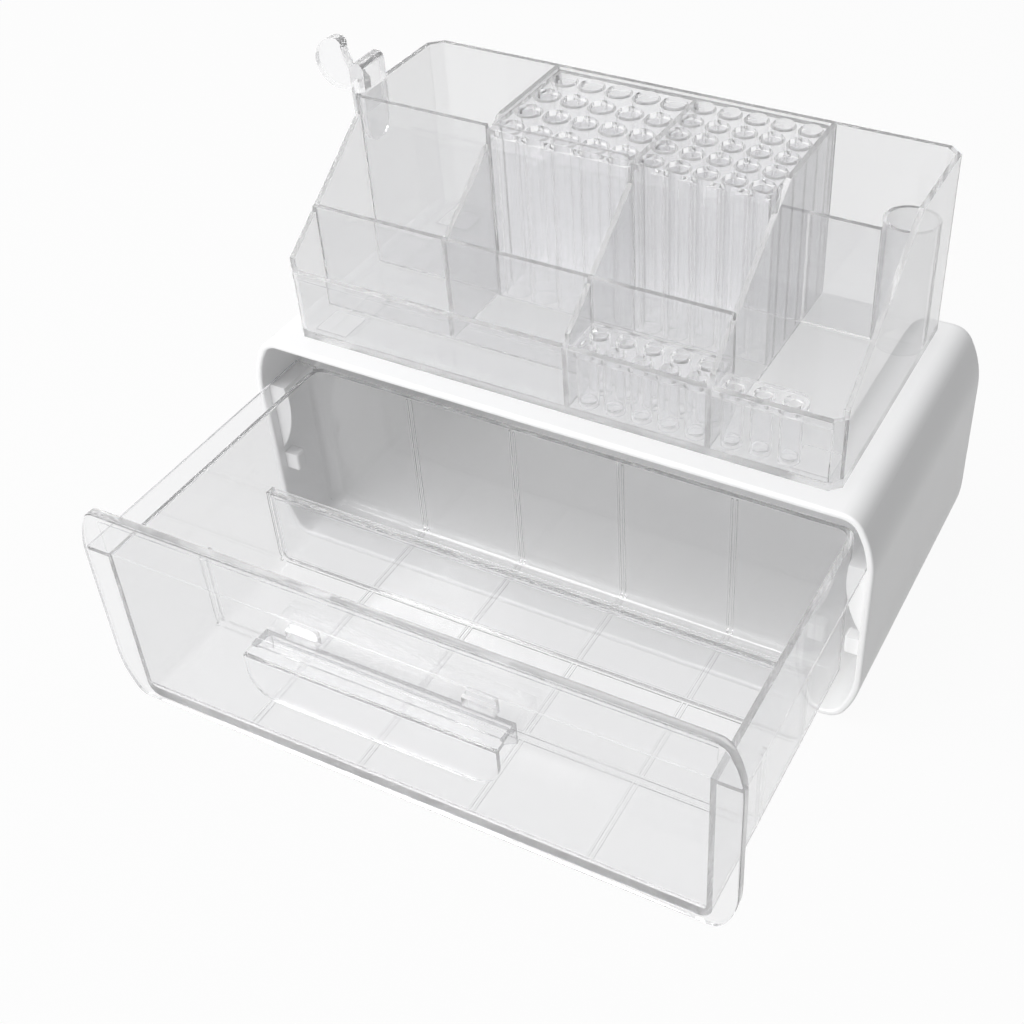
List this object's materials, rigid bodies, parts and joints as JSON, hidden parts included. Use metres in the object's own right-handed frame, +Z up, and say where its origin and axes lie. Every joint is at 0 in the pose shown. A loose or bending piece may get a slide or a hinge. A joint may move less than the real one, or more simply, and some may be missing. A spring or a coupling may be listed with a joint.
{
  "type": "nail polish organizer",
  "caption": "Desk organizer with a clear front drawer in a white casing and a clear stepped tray on top with divided bays, brush sockets, a cup and a side hook.",
  "frame": {"origin": "middle of the casing's flat underside", "axes": "+X along the width to the viewer's right, +Y from the drawer's front to the back, +Z up"},
  "size_m": [0.3026, 0.284, 0.2249],
  "materials": {
    "white_shell": "gloss",
    "clear": "clear gloss"
  },
  "bodies": {
    "case": {"casing": "white_shell"},
    "drawer": {"drawer_box": "clear", "drawer_handle": "clear"},
    "divider": {"drawer_divider": "clear"},
    "tray": {"top_tray": "clear"},
    "block_rear_left": {"brush_block_rear_left": "clear"},
    "block_rear_right": {"brush_block_rear_right": "clear"},
    "block_front_center": {"bit_block_front_center": "clear"},
    "block_front_right": {"bit_block_front_right": "clear"},
    "hook": {"hook_clip": "clear"}
  },
  "joints": [
    {"name": "drawer_slide", "type": "slide", "parent": "case", "child": "drawer", "axis": [0, 1, 0], "range_m": [0, 0.121]},
    {"name": "divider_lift", "type": "slide", "parent": "drawer", "child": "divider", "axis": [0, 0, 1], "range_m": [0, 0.058]},
    {"name": "tray_lift", "type": "slide", "parent": "case", "child": "tray", "axis": [0, 0, 1], "range_m": [0, 0.04]},
    {"name": "rear_left_block_lift", "type": "slide", "parent": "tray", "child": "block_rear_left", "axis": [0, 0, 1], "range_m": [0, 0.09]},
    {"name": "rear_right_block_lift", "type": "slide", "parent": "tray", "child": "block_rear_right", "axis": [0, 0, 1], "range_m": [0, 0.09]},
    {"name": "front_center_block_lift", "type": "slide", "parent": "tray", "child": "block_front_center", "axis": [0, 0, 1], "range_m": [0, 0.055]},
    {"name": "front_right_block_lift", "type": "slide", "parent": "tray", "child": "block_front_right", "axis": [0, 0, 1], "range_m": [0, 0.055]},
    {"name": "hook_lift", "type": "slide", "parent": "tray", "child": "hook", "axis": [0, 0, 1], "range_m": [0, 0.03]}
  ]
}
